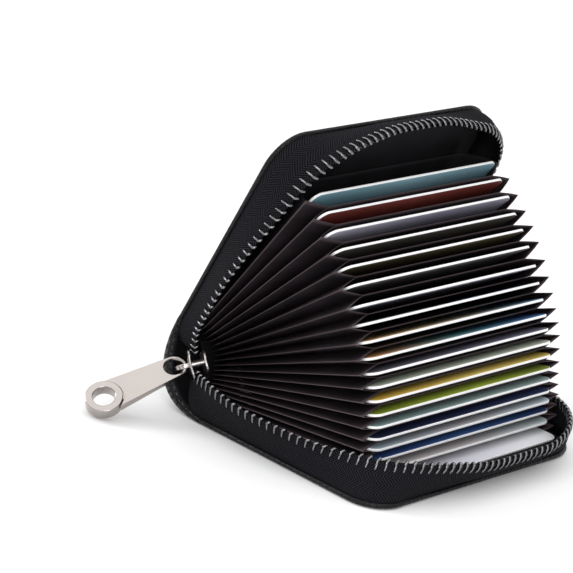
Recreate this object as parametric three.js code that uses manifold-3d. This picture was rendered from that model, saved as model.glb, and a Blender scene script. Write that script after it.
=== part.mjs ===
// Accordion card holder: a zip-round leather case whose twenty card pockets fan out of a spine.
// Millimetres, +Z up. The lower (base) cover lies flat with its leather on Z = 0; the case is modelled
// fanned open, as it lies on a table. +X runs from the spine to the mouth, +Y from the slider end to the other.
import * as THREE from "three";
import { mergeVertices } from "three/addons/utils/BufferGeometryUtils.js";
import Module from "manifold-3d";

const wasm = await Module();
wasm.setup();

// ---------- driving dimensions ----------
const HALF_STACK = 13.2; // closed case: from the mid plane to the leather of one cover
const COVER_MOUTH = 74.4; // mouth edge of a cover, from the fold datum
const COVER_SPINE = 5.0; // where the stiff part of a cover ends at the spine
const COVER_LENGTH = 102.0; // along the spine
const CORNER_NEAR = 11.0; // radius of the mouth corner at the slider end
const CORNER_FAR = 14.5; // and at the other end
const LEATHER = 1.5; // leather with its board
const LINING = 0.65;
const LINING_INSET = 2.4;
const LINING_SPINE = 11.0; // inner edge of the lining
const OPEN_ANGLE = 68.96; // between the covers as modelled
const FOLD_X = -3.97; // common fold axis of the leaves, parallel to Y
const FOLD_Z = 3.65;
const SPINE_HINGE = 8.5; // the spine's two hinge lines stand this far from the closed mid plane

const CARDS = 20;
const CARD_LONG = 85.6; // ISO/IEC 7810 ID-1
const CARD_DEEP = 53.98;
const CARD_THICK = 0.76;
const CARD_CORNER = 3.18;
const STACK_PITCH = 1.105; // one pocket, closed
const STACK_TOP = 10.5; // mid plane of the uppermost card, closed
// opening of each card's leaf above the base cover, uppermost card first, in degrees
const CARD_ANGLE = [
  58.68, 54.66, 50.59, 46.57, 42.6, 38.61, 34.0, 30.05, 26.31, 22.9, 19.95,
  17.35, 14.67, 12.05, 9.86, 7.75, 6.0, 4.16, 2.24, 0,
];
// mouth edge of each card from the fold datum
const CARD_MOUTH = [
  62.9, 61.25, 59.95, 58.9, 58.65, 58.3, 58.35, 58.15, 58.5, 58.9, 59.4, 59.9,
  60.15, 60.55, 60.9, 61.4, 62.1, 62.3, 63.35, 68.0,
];
// each card has been pushed a little towards the far end of its pocket
const CARD_SHIFT_Y = [
  0.97, 0.84, 1.1, 1.19, 1.21, 1.36, 1.55, 1.45, 1.47, 1.56, 1.42, 1.62, 1.5,
  1.44, 1.49, 1.47, 1.48, 1.44, 1.39, 0.9,
];
const PANEL_THICK = 0.2;
const PANEL_GAP = 0.07; // between a card and the pocket panel under it
const PANEL_ROOT = 2.0;
const PANEL_BACK = 3.2; // a pocket's mouth lies this far behind its card's edge
const PANEL_NEAR = 42.2; // ends of a pocket panel
const PANEL_FAR = 44.4;

const WALL_INSET = 1.0; // middle of the zip wall inside the cover's edge
const TAPE_THICK = 0.8;
const TAPE_FOOT = 11.55; // from the mid plane
const TAPE_EDGE = 1.6;
const TAPE_RISE = 1.4;
const TEETH_THICK = 1.7;
const TEETH_ROOT = 1.5;
const TEETH_LOW = 0.55;
const TEETH_TIP = 0.15;
const TEETH_PITCH = 2.65;
const FRONT_NEAR = 39.5; // ends of the mouth run of the zip, which leans out when open
const FRONT_FAR = 36.0;
const FRONT_LEAN_BASE = 42;
const FRONT_LEAN_TOP = 34;
const SPINE_TURN_X = 3.2; // centre of the zip's turn at the spine
const SPINE_TURN_Y = 42.5;
const SPINE_TURN_R = 8.0;
const SPINE_TURN_START = 20; // degrees of that turn that carry teeth

const SLIDER_TURN = 40; // where the slider is parked on that turn, degrees
const SLIDER_Z = 2.4; // its middle above the mid plane
const SLIDER_OUT = 0.4; // and outside the zip line
const SLIDER_ROLL = 19; // it leans about its own length
const BRIDGE_WIDE = 1.4;
const BRIDGE_TOP = 5.6; // top of the bridge above the slider's middle
const PULL_REACH = 23.2; // pull hole to ring centre
const RING_OUT = 5.55;
const RING_IN = 3.3;
const RING_THICK = 3.6;
const EYE_OUT = 3.7; // round end of the pull, and the hole in it
const EYE_IN = 3.1;
const BAR_THIN = 0.9; // pull at its eye and at its ring
const BAR_THICK = 2.7;

const rad = THREE.MathUtils.degToRad;

// ---------- materials ----------
const mat = (color, roughness, metalness = 0) =>
  new THREE.MeshStandardMaterial({ color, roughness, metalness });
const LEATHER_M = mat(0x17171a, 0.5);
const LINING_M = mat(0x0d0c0d, 0.85);
const TAPE_M = mat(0x151518, 0.9);
const TEETH_M = mat(0x4a4a4d, 0.25, 0.8);
const FABRIC_M = mat(0x1d1619, 0.85);
const METAL_M = mat(0xd8cfc9, 0.25, 1);
const CARD_COLOURS = [
  0x8fc3cf, 0x7c2b2b, 0xa7a2b4, 0x3a3a40, 0x4c4632, 0xd9d9de, 0xd6d4e4,
  0xdfe7ee, 0xb98a52, 0x5f8f9c, 0x6b6877, 0xaebcae, 0xd7b443, 0x86953c,
  0x93a9a8, 0x27325c, 0xa9bccb, 0x3a66a8, 0xb7a4a8, 0xdedbea,
];

// ---------- helpers ----------
function closed(positions, faces) {
  const g = new THREE.BufferGeometry();
  let volume = 0;
  const v = (i) => new THREE.Vector3(...positions[i]);
  for (const [a, b, c] of faces) volume += v(a).dot(v(b).cross(v(c)));
  const order = volume < 0 ? faces.map(([a, b, c]) => [a, c, b]) : faces;
  g.setAttribute(
    "position",
    new THREE.Float32BufferAttribute(positions.flat(), 3),
  );
  g.setIndex(order.flat());
  return g;
}

function solid(geometry) {
  const flat = geometry.index ? geometry.toNonIndexed() : geometry.clone();
  for (const name of Object.keys(flat.attributes))
    if (name !== "position") flat.deleteAttribute(name);
  const merged = mergeVertices(flat, 1e-4);
  return new wasm.Manifold(
    new wasm.Mesh({
      numProp: 3,
      vertProperties: new Float32Array(merged.attributes.position.array),
      triVerts: new Uint32Array(merged.index.array),
    }),
  );
}

function geometryOf(manifold) {
  const m = manifold.getMesh();
  const g = new THREE.BufferGeometry();
  const v = new Float32Array(m.numVert * 3);
  for (let i = 0; i < m.numVert; i++)
    v.set(m.vertProperties.subarray(i * m.numProp, i * m.numProp + 3), i * 3);
  g.setAttribute("position", new THREE.BufferAttribute(v, 3));
  g.setIndex(new THREE.BufferAttribute(m.triVerts, 1));
  return g;
}

function add(group, name, geometry, material) {
  const mesh = new THREE.Mesh(geometry, material);
  mesh.name = name;
  group.add(mesh);
  return mesh;
}

// A flat plate in XY between two heights.
function plate(shape, z0, z1, curveSegments) {
  return new THREE.ExtrudeGeometry(shape, {
    depth: z1 - z0,
    bevelEnabled: false,
    curveSegments,
  }).translate(0, 0, z0);
}

// A panel with its two mouth corners rounded.
function coverShape(x0, x1, half, near, far) {
  const s = new THREE.Shape();
  s.moveTo(x0, -half);
  s.lineTo(x1 - near, -half);
  s.absarc(x1 - near, -half + near, near, -Math.PI / 2, 0, false);
  s.lineTo(x1, half - far);
  s.absarc(x1 - far, half - far, far, 0, Math.PI / 2, false);
  s.lineTo(x0, half);
  s.closePath();
  return s;
}

function roundedRect(x0, x1, y0, y1, r) {
  const s = new THREE.Shape();
  s.moveTo(x0 + r, y0);
  s.lineTo(x1 - r, y0);
  s.absarc(x1 - r, y0 + r, r, -Math.PI / 2, 0, false);
  s.lineTo(x1, y1 - r);
  s.absarc(x1 - r, y1 - r, r, 0, Math.PI / 2, false);
  s.lineTo(x0 + r, y1);
  s.absarc(x0 + r, y1 - r, r, Math.PI / 2, Math.PI, false);
  s.lineTo(x0, y0 + r);
  s.absarc(x0 + r, y0 + r, r, Math.PI, 1.5 * Math.PI, false);
  s.closePath();
  return s;
}

// A strip standing on edge along a path: each station is {x, y, nx, ny, z0, z1, half}.
function strip(stations) {
  const p = [],
    f = [];
  for (const s of stations) {
    p.push([s.x - s.nx * s.half, s.y - s.ny * s.half, s.z0]);
    p.push([s.x + s.nx * s.half, s.y + s.ny * s.half, s.z0]);
    p.push([s.x + s.nx * s.half, s.y + s.ny * s.half, s.z1]);
    p.push([s.x - s.nx * s.half, s.y - s.ny * s.half, s.z1]);
  }
  for (let i = 0; i + 1 < stations.length; i++)
    for (let k = 0; k < 4; k++) {
      const a = 4 * i + k,
        b = 4 * i + ((k + 1) % 4);
      f.push([a, b, b + 4], [a, b + 4, a + 4]);
    }
  const e = 4 * (stations.length - 1);
  f.push([0, 2, 1], [0, 3, 2], [e, e + 1, e + 2], [e, e + 2, e + 3]);
  return closed(p, f);
}

// Zip line of one long side: round the spine turn, along the side, round the mouth corner. side is -1 or +1.
const edgeY = COVER_LENGTH / 2 - WALL_INSET;
const edgeX = COVER_MOUTH - WALL_INSET;
const turnLength = SPINE_TURN_R * rad(SPINE_TURN_START);
// radius of the mouth corner, and lengths of the side and the corner
function run(side) {
  const cornerR = (side < 0 ? CORNER_NEAR : CORNER_FAR) - WALL_INSET;
  const sideLength = edgeX - cornerR - SPINE_TURN_X;
  return { cornerR, sideLength, cornerLength: (cornerR * Math.PI) / 2 };
}
function zipLine(t, side) {
  const { cornerR, sideLength } = run(side);
  let x, y, nx, ny;
  if (t < turnLength) {
    const a = rad(SPINE_TURN_START) - t / SPINE_TURN_R;
    nx = -Math.sin(a);
    ny = -Math.cos(a);
    x = SPINE_TURN_X + SPINE_TURN_R * nx;
    y = -SPINE_TURN_Y + SPINE_TURN_R * ny;
    y += (-edgeY + SPINE_TURN_Y + SPINE_TURN_R) * Math.cos(a);
  } else if (t < turnLength + sideLength) {
    x = SPINE_TURN_X + (t - turnLength);
    y = -edgeY;
    nx = 0;
    ny = -1;
  } else {
    const a = (t - turnLength - sideLength) / cornerR;
    nx = Math.sin(a);
    ny = -Math.cos(a);
    x = edgeX - cornerR + cornerR * nx;
    y = -edgeY + cornerR + cornerR * ny;
  }
  return { x, y: -side * y, nx, ny: -side * ny };
}

// The tape of one long side; up is -1 for the base cover, whose tape rises to the mid plane, and +1 for the top.
function sideTape(side, up) {
  const { sideLength, cornerLength } = run(side);
  const ts = [];
  for (let i = 0; i <= 3; i++) ts.push((turnLength * i) / 3);
  ts.push(turnLength + sideLength / 2);
  for (let i = 0; i <= 7; i++)
    ts.push(turnLength + sideLength + (cornerLength * i) / 7);
  // the tape's foot rises off the leather where it turns in at the spine
  const foot = (t) => TAPE_FOOT - TAPE_RISE * Math.max(0, 1 - t / turnLength);
  return strip(
    ts.map((t) => ({
      ...zipLine(t, side),
      z0: up > 0 ? TAPE_EDGE : -foot(t),
      z1: up > 0 ? foot(t) : -TAPE_EDGE,
      half: TAPE_THICK / 2,
    })),
  );
}

function teeth(length, at, up, phase) {
  const stations = [];
  const n = Math.floor(length / (TEETH_PITCH / 2));
  for (let i = 0; i <= n; i++) {
    const tip = (i + phase) % 2 === 0 ? TEETH_TIP : TEETH_LOW;
    stations.push({
      ...at((length * i) / n),
      z0: up > 0 ? tip : -TEETH_ROOT,
      z1: up > 0 ? TEETH_ROOT : -tip,
      half: TEETH_THICK / 2,
    });
  }
  return strip(stations);
}

// ---------- scene graph ----------
const holder = new THREE.Group();
// the fold datum, on the closed mid plane: the origin of the part is the middle of the base cover's face
const stack = new THREE.Group();
stack.position.set(-(COVER_MOUTH + COVER_SPINE) / 2, 0, HALF_STACK);
holder.add(stack);

// A group turned by an opening angle about a line parallel to Y, holding shapes drawn in the closed stack.
function turned(parent, x, z, degrees) {
  const outer = new THREE.Group();
  outer.position.set(x, 0, z);
  outer.rotation.y = -rad(degrees);
  parent.add(outer);
  const inner = new THREE.Group();
  inner.position.set(-x, 0, -z);
  outer.add(inner);
  return inner;
}

function cover(group, prefix, up, lean) {
  const outline = coverShape(
    COVER_SPINE,
    COVER_MOUTH,
    COVER_LENGTH / 2,
    CORNER_NEAR,
    CORNER_FAR,
  );
  const lined = coverShape(
    LINING_SPINE,
    COVER_MOUTH - LINING_INSET,
    COVER_LENGTH / 2 - LINING_INSET,
    CORNER_NEAR - LINING_INSET,
    CORNER_FAR - LINING_INSET,
  );
  const span = (a, b) => (up > 0 ? [a, b] : [-b, -a]);
  const leather = span(HALF_STACK - LEATHER, HALF_STACK);
  const lining = span(
    HALF_STACK - LEATHER - 0.1 - LINING,
    HALF_STACK - LEATHER - 0.1,
  );
  add(group, prefix + "_cover_leather", plate(outline, ...leather, 8), LEATHER_M);
  add(group, prefix + "_cover_lining", plate(lined, ...lining, 6), LINING_M);
  const phase = up > 0 ? 1 : 0;
  for (const [side, word] of [
    [-1, "near"],
    [1, "far"],
  ]) {
    const { sideLength, cornerLength } = run(side);
    add(group, `${prefix}_zip_tape_${word}`, sideTape(side, up), TAPE_M);
    add(
      group,
      `${prefix}_zip_teeth_${word}`,
      teeth(
        turnLength + sideLength + cornerLength,
        (t) => zipLine(t, side),
        up,
        phase,
      ),
      TEETH_M,
    );
  }
  // the mouth run leans outwards about its foot
  const foot = up * 11.25;
  const flap = turned(group, edgeX, foot, -up * -lean);
  const straight = (t) => ({ x: edgeX, y: -FRONT_NEAR + t, nx: 1, ny: 0 });
  add(
    flap,
    prefix + "_zip_tape_front",
    strip(
      [0, FRONT_NEAR, FRONT_NEAR + FRONT_FAR].map((t) => ({
        ...straight(t),
        z0: up > 0 ? TAPE_EDGE : -11.25,
        z1: up > 0 ? 11.25 : -TAPE_EDGE,
        half: TAPE_THICK / 2,
      })),
    ),
    TAPE_M,
  );
  add(
    flap,
    prefix + "_zip_teeth_front",
    teeth(FRONT_NEAR + FRONT_FAR, straight, up, phase),
    TEETH_M,
  );
}

cover(stack, "base", -1, FRONT_LEAN_BASE);
const top = turned(stack, FOLD_X, FOLD_Z, OPEN_ANGLE);
cover(top, "top", 1, FRONT_LEAN_TOP);

// ---------- spine ----------
// split of the opening between the two hinge lines of the spine
let lo = 0,
  hi = 8;
for (let i = 0; i < 60; i++) {
  const e = (lo + hi) / 2;
  const sum =
    Math.atan(e / (SPINE_HINGE + FOLD_Z)) + Math.atan(e / (SPINE_HINGE - FOLD_Z));
  if (sum < rad(OPEN_ANGLE) / 2) lo = e;
  else hi = e;
}
const SPINE_X = FOLD_X + lo;
const SPINE_TILT = (2 * Math.atan(lo / (SPINE_HINGE + FOLD_Z)) * 180) / Math.PI;
const spine = turned(stack, SPINE_X, -SPINE_HINGE, SPINE_TILT);
add(
  spine,
  "spine_back_strip",
  new THREE.BoxGeometry(0.8, 82, 2 * SPINE_HINGE - 2).translate(SPINE_X, 0, 0),
  LINING_M,
);
// leather round the back, from the base cover's edge to the top cover's edge
{
  const u = new THREE.Vector2(
    Math.cos(rad(OPEN_ANGLE)),
    Math.sin(rad(OPEN_ANGLE)),
  );
  const n = new THREE.Vector2(-u.y, u.x);
  const axis = new THREE.Vector2(FOLD_X, FOLD_Z);
  const onTop = (x, z) =>
    axis
      .clone()
      .addScaledVector(u, x - FOLD_X)
      .addScaledVector(n, z - FOLD_Z);
  const edge = COVER_SPINE - 0.4;
  const curve = (depth) => {
    const from = new THREE.Vector2(edge, -HALF_STACK + depth);
    const to = onTop(edge, HALF_STACK - depth);
    return new THREE.CubicBezierCurve(
      from,
      from.clone().add(new THREE.Vector2(-16 + depth, 0)),
      to.clone().addScaledVector(u, -(18 - depth)),
      to,
    ).getPoints(14);
  };
  const shape = new THREE.Shape([...curve(0), ...curve(LEATHER).reverse()]);
  // drawn in XZ, drawn out along Y
  const g = new THREE.ExtrudeGeometry(shape, {
    depth: COVER_LENGTH,
    bevelEnabled: false,
  })
    .rotateX(Math.PI / 2)
    .translate(0, COVER_LENGTH / 2, 0);
  add(stack, "spine_leather", g, LEATHER_M);
}

// ---------- pockets and cards ----------
const offset = (i) => STACK_TOP - i * STACK_PITCH;
const two = (i) => String(i + 1).padStart(2, "0");
for (let i = 0; i < CARDS; i++) {
  const leaf = turned(stack, FOLD_X, FOLD_Z, CARD_ANGLE[i]);
  const o = offset(i),
    mouth = CARD_MOUTH[i];
  add(
    leaf,
    "card_" + two(i),
    plate(
      roundedRect(
        mouth - CARD_DEEP,
        mouth,
        CARD_SHIFT_Y[i] - CARD_LONG / 2,
        CARD_SHIFT_Y[i] + CARD_LONG / 2,
        CARD_CORNER,
      ),
      o - CARD_THICK / 2,
      o + CARD_THICK / 2,
      3,
    ),
    mat(CARD_COLOURS[i], 0.35),
  );
  if (i < CARDS - 1) {
    const under = o - CARD_THICK / 2 - PANEL_GAP;
    add(
      leaf,
      "pocket_panel_" + two(i),
      plate(
        roundedRect(PANEL_ROOT, mouth - PANEL_BACK, -PANEL_NEAR, PANEL_FAR, 1.5),
        under - PANEL_THICK,
        under,
        1,
      ),
      FABRIC_M,
    );
  }
}

// ---------- bellows: pleated ends and the back that joins them ----------
{
  // fold lines from the base upwards: a valley between two leaves, a ridge at each card
  const folds = [];
  for (let i = CARDS - 1; i >= 0; i--) {
    if (i === CARDS - 1)
      folds.push({ a: CARD_ANGLE[i], o: offset(i) - 0.25, ridge: 0 });
    folds.push({ a: CARD_ANGLE[i], o: offset(i), ridge: 1 });
    if (i > 0)
      folds.push({
        a: (CARD_ANGLE[i] + CARD_ANGLE[i - 1]) / 2,
        o: (offset(i) + offset(i - 1)) / 2,
        ridge: 0,
      });
    else folds.push({ a: CARD_ANGLE[0] + 2.4, o: offset(0) + 0.3, ridge: 0 });
  }
  const at = (k, s, y) => {
    const f = folds[k],
      c = Math.cos(rad(f.a)),
      n = Math.sin(rad(f.a));
    return [
      FOLD_X + c * (s - FOLD_X) - n * (f.o - FOLD_Z),
      y,
      FOLD_Z + n * (s - FOLD_X) + c * (f.o - FOLD_Z),
    ];
  };
  // a sheet with two faces: rows of points per fold line, joined all round
  const sheet = (rowsA, rowsB) => {
    const p = [...rowsA.flat(), ...rowsB.flat()],
      w = rowsA[0].length,
      h = rowsA.length,
      half = w * h,
      f = [];
    const quad = (a, b, c, d) => f.push([a, b, c], [a, c, d]);
    for (let r = 0; r + 1 < h; r++)
      for (let c = 0; c + 1 < w; c++) {
        const i = r * w + c;
        quad(i, i + 1, i + w + 1, i + w);
        quad(half + i, half + i + w, half + i + w + 1, half + i + 1);
      }
    for (let r = 0; r + 1 < h; r++)
      for (const c of [0, w - 1]) {
        const i = r * w + c;
        if (c === 0) quad(i, i + w, half + i + w, half + i);
        else quad(i, half + i, half + i + w, i + w);
      }
    for (let c = 0; c + 1 < w; c++)
      for (const r of [0, h - 1]) {
        const i = r * w + c;
        if (r === 0) quad(i, half + i, half + i + 1, i + 1);
        else quad(i, i + 1, half + i + 1, half + i);
      }
    return closed(p, f);
  };
  const runs = [
    [0.4, 0],
    [14, 2.4],
    [55, 2.6],
  ];
  const wall = (side) => {
    const rows = (extra) =>
      folds.map((f, k) =>
        runs.map(([s, deep]) => at(k, s, side * ((side < 0 ? 43.0 : 45.2) + extra + f.ridge * deep))),
      );
    return sheet(rows(0), rows(0.35));
  };
  const back = sheet(
    folds.map((_, k) => [-43.2, 45.4].map((y) => at(k, 0.4, y))),
    folds.map((_, k) => [-43.2, 45.4].map((y) => at(k, 1.0, y))),
  );
  const bellows = solid(wall(-1)).add(solid(wall(1))).add(solid(back));
  add(stack, "bellows_gusset", geometryOf(bellows), FABRIC_M);
}

// ---------- zip slider and pull ----------
{
  const a = rad(SLIDER_TURN);
  const side = new THREE.Vector3(-Math.sin(a), -Math.cos(a), 0); // straight out of the zip wall
  const long = new THREE.Vector3(0.683, -0.574, 0.453);
  long.addScaledVector(side, -long.dot(side)).normalize();
  const roll = rad(SLIDER_ROLL);
  const rise = new THREE.Vector3().crossVectors(side, long).normalize();
  const out = side.clone().multiplyScalar(Math.cos(roll)).addScaledVector(rise, -Math.sin(roll));
  const across = new THREE.Vector3().crossVectors(out, long).normalize();
  const seat = new THREE.Group(); // x along the slider, y across the rows, z out of the case
  const frame = new THREE.Matrix4().makeBasis(long, across, out);
  const middle = new THREE.Vector3(
    SPINE_TURN_X,
    -SPINE_TURN_Y - (edgeY - SPINE_TURN_Y - SPINE_TURN_R),
    SLIDER_Z,
  ).addScaledVector(side, SPINE_TURN_R + SLIDER_OUT);
  frame.setPosition(middle);
  seat.applyMatrix4(frame);
  stack.add(seat);
  // shield-shaped plate, wide where the rows come in
  const shield = (length, wide, tail) => {
    const s = new THREE.Shape();
    s.moveTo(-length / 2, -tail / 2 + 0.8);
    s.lineTo(-length / 2 + 0.9, -tail / 2);
    s.lineTo(length / 2 - 2.2, -wide / 2);
    s.lineTo(length / 2, -wide / 2 + 1.4);
    s.lineTo(length / 2, wide / 2 - 1.4);
    s.lineTo(length / 2 - 2.2, wide / 2);
    s.lineTo(-length / 2 + 0.9, tail / 2);
    s.lineTo(-length / 2, tail / 2 - 0.8);
    s.closePath();
    return s;
  };
  let body = solid(plate(shield(8.6, 9.4, 7.0), 1.88, 2.25, 1));
  body = body.add(solid(plate(shield(5.4, 5.2, 4.4), -2.85, -2.25, 1)));
  // post between the plates, in the fork of the rows
  const post = new THREE.Shape();
  post.moveTo(-1.5, -0.45);
  post.lineTo(0.9, -0.65);
  post.lineTo(1.5, 0);
  post.lineTo(0.9, 0.65);
  post.lineTo(-1.5, 0.45);
  post.closePath();
  body = body.add(solid(plate(post, -2.5, 2.05, 1)));
  // bridge: a flat hoop along the slider that holds the pull
  const hoop = new THREE.Shape();
  hoop.moveTo(-4.2, 2.05);
  hoop.lineTo(-4.2, BRIDGE_TOP - 1.8);
  hoop.quadraticCurveTo(-4.1, BRIDGE_TOP, -2.4, BRIDGE_TOP);
  hoop.lineTo(2.4, BRIDGE_TOP);
  hoop.quadraticCurveTo(4.1, BRIDGE_TOP, 4.2, BRIDGE_TOP - 1.8);
  hoop.lineTo(4.2, 2.05);
  hoop.lineTo(3.3, 2.05);
  hoop.lineTo(3.3, BRIDGE_TOP - 1.7);
  hoop.quadraticCurveTo(3.2, BRIDGE_TOP - 0.9, 2.4, BRIDGE_TOP - 0.9);
  hoop.lineTo(-2.4, BRIDGE_TOP - 0.9);
  hoop.quadraticCurveTo(-3.2, BRIDGE_TOP - 0.9, -3.3, BRIDGE_TOP - 1.7);
  hoop.lineTo(-3.3, 2.05);
  hoop.closePath();
  const hoopGeo = new THREE.ExtrudeGeometry(hoop, {
    depth: BRIDGE_WIDE,
    bevelEnabled: false,
    curveSegments: 4,
  })
    .rotateX(Math.PI / 2)
    .translate(0, BRIDGE_WIDE / 2, 0);
  body = body.add(solid(hoopGeo));
  add(seat, "zip_slider", geometryOf(body), METAL_M);

  // pull: a tapered bar with a hole for the bridge and a thick ring at its end
  const reach = new THREE.Vector3(-0.3157, -0.8548, -0.4119).normalize();
  const wide = new THREE.Vector3(0.922, -0.159, -0.352);
  wide.addScaledVector(reach, -wide.dot(reach)).normalize();
  const face = new THREE.Vector3().crossVectors(reach, wide);
  const bar = new THREE.Group(); // x along the pull, y across it
  const hole = middle.clone().addScaledVector(side, 4.0).addScaledVector(reach, 2.45).addScaledVector(long, 0.5);
  hole.z -= 0.5;
  const bf = new THREE.Matrix4().makeBasis(reach, wide, face);
  bf.setPosition(hole);
  bar.applyMatrix4(bf);
  stack.add(bar);
  const s = new THREE.Shape();
  s.absarc(0, 0, EYE_OUT, Math.PI / 2, 1.5 * Math.PI, false);
  s.lineTo(PULL_REACH, -RING_OUT + 0.25);
  s.lineTo(PULL_REACH, RING_OUT - 0.25);
  s.closePath();
  const eye = new THREE.Path();
  eye.absarc(0, 0, EYE_IN, 0, 2 * Math.PI, true);
  s.holes.push(eye);
  const wedge = plate(s, -1, 1, 10); // thickens from the eye to the ring
  const at = wedge.attributes.position;
  for (let i = 0; i < at.count; i++) {
    const share = (at.getX(i) + EYE_OUT) / (PULL_REACH + EYE_OUT);
    at.setZ(i, (at.getZ(i) * (BAR_THIN + (BAR_THICK - BAR_THIN) * share)) / 2);
  }
  let pull = solid(wedge);
  const disc = new THREE.Shape();
  disc.absarc(0, 0, RING_IN + 0.4, 0, 2 * Math.PI, false);
  pull = pull.subtract(
    solid(plate(disc, -3, 3, 14).translate(PULL_REACH, 0, 0)),
  );
  const h = RING_THICK / 2;
  const ring = new THREE.LatheGeometry(
    [
      [RING_IN, -h + 0.6],
      [RING_IN + 0.6, -h],
      [RING_OUT - 0.7, -h],
      [RING_OUT, -h + 0.7],
      [RING_OUT, h - 0.7],
      [RING_OUT - 0.7, h],
      [RING_IN + 0.6, h],
      [RING_IN, h - 0.6],
      [RING_IN, -h + 0.6],
    ].map(([x, y]) => new THREE.Vector2(x, y)),
    28,
  ).rotateX(Math.PI / 2);
  ring.translate(PULL_REACH, 0, 0);
  pull = pull.add(solid(ring));
  add(bar, "pull_tab", geometryOf(pull), METAL_M);
}

export default holder;
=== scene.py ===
import math

import bmesh
import bpy
import numpy as np
from mathutils import Matrix, Vector


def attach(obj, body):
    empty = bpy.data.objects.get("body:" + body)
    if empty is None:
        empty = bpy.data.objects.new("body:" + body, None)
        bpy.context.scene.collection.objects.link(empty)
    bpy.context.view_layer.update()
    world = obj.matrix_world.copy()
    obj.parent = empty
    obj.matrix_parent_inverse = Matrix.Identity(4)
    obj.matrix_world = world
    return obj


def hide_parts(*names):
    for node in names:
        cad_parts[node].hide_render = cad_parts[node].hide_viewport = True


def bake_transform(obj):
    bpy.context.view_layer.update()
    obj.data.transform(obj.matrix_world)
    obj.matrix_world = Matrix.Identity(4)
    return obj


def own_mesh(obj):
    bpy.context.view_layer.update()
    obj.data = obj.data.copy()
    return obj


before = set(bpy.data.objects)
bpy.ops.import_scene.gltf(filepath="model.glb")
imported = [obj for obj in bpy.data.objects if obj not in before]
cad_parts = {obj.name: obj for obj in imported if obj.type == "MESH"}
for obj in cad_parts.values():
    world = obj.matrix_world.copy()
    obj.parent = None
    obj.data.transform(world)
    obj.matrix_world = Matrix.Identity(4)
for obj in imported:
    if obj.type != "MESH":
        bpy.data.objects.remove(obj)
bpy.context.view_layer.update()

# ---------------------------------------------------------------- dimensions, in millimetres, as in the CAD
H = 13.2
MOUTH = 74.4
SPINE_END = 5.0
HALF = 51.0
CORNER = {-1: 11.0, 1: 16.3}  # mouth corner at the near and at the far end
PHI = 68.96
AX, AZ = -3.97, 3.65
X0 = (MOUTH + SPINE_END) / 2
ANGLE = [58.68, 54.66, 50.59, 46.57, 42.6, 38.61, 34.0, 30.05, 26.31, 22.9, 19.95,
         17.35, 14.67, 12.05, 9.86, 7.75, 6.0, 4.16, 2.24, 0.0]
CARD_MOUTH = [62.9, 61.25, 59.95, 58.9, 58.65, 58.3, 58.35, 58.15, 58.5, 58.9, 59.4, 59.9,
              60.15, 60.55, 60.9, 61.4, 62.1, 62.3, 63.35, 68.0]
CARD_SHIFT = [0.97, 0.84, 1.1, 1.19, 1.21, 1.36, 1.55, 1.45, 1.47, 1.56, 1.42, 1.62, 1.5,
              1.44, 1.49, 1.47, 1.48, 1.44, 1.39, 0.9]
OFFSET = [10.5 - 1.105 * i for i in range(20)]
EDGE_Y = HALF - 1.0
EDGE_X = MOUTH - 1.0
ZIP_R = {k: r - 1.0 for k, r in CORNER.items()}  # the tape's foot
TEETH_R = {-1: 23.0, 1: 19.6}  # its edge takes the corners wider
FOOT = 11.25
TURN_X, TURN_Y, TURN_R = 3.2, 42.0, 8.0
LEAN = {-1: 42.0, 1: 34.0}
PITCH = 2.65


def W(p):
    """Closed-stack millimetres to the row frame, in metres."""
    return ((p[0] - X0) * 1e-3, p[1] * 1e-3, (p[2] + H) * 1e-3)


def leaf(theta, s, y, o):
    """A point of the closed stack (s from the fold datum, o from the mid plane) on a leaf opened by theta degrees."""
    c, n = math.cos(math.radians(theta)), math.sin(math.radians(theta))
    return (AX + c * (s - AX) - n * (o - AZ), y, AZ + n * (s - AX) + c * (o - AZ))


def on_cover(up):
    return (lambda s, y, o: leaf(PHI, s, y, o)) if up > 0 else (lambda s, y, o: (s, y, o))


def smooth(t):
    t = min(1.0, max(0.0, t))
    return t * t * (3 - 2 * t)


# ---------------------------------------------------------------- materials
def material(name):
    m = bpy.data.materials.new(name)
    m.use_nodes = True
    t = m.node_tree
    t.nodes.clear()
    out = t.nodes.new("ShaderNodeOutputMaterial")
    b = t.nodes.new("ShaderNodeBsdfPrincipled")
    t.links.new(b.outputs[0], out.inputs[0])
    return m, t, b


def node(t, kind, **values):
    n = t.nodes.new(kind)
    for k, v in values.items():
        if hasattr(n, k):
            setattr(n, k, v)
        else:
            n.inputs[k.replace("_", " ")].default_value = v
    return n


def math_node(t, op, a, b=None):
    n = t.nodes.new("ShaderNodeMath")
    n.operation = op
    for i, v in enumerate((a, b)):
        if v is None:
            continue
        if isinstance(v, (int, float)):
            n.inputs[i].default_value = v
        else:
            t.links.new(v, n.inputs[i])
    return n.outputs[0]


def ramp(t, fac, stops, mode="LINEAR"):
    n = t.nodes.new("ShaderNodeValToRGB")
    n.color_ramp.interpolation = mode
    e = n.color_ramp.elements
    while len(e) < len(stops):
        e.new(0.5)
    for x, (p, c) in zip(e, stops):
        x.position = p
        x.color = (*c, 1) if len(c) == 3 else c
    t.links.new(fac, n.inputs[0])
    return n.outputs[0]


def uv_mm(t):
    n = t.nodes.new("ShaderNodeTexCoord")
    return n.outputs["UV"]


def separate(t, vector):
    n = t.nodes.new("ShaderNodeSeparateXYZ")
    t.links.new(vector, n.inputs[0])
    return n.outputs


def noise(t, vector, scale, detail=3.0, rough=0.55):
    n = t.nodes.new("ShaderNodeTexNoise")
    n.inputs["Scale"].default_value = scale
    n.inputs["Detail"].default_value = detail
    n.inputs["Roughness"].default_value = rough
    t.links.new(vector, n.inputs["Vector"])
    return n


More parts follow.
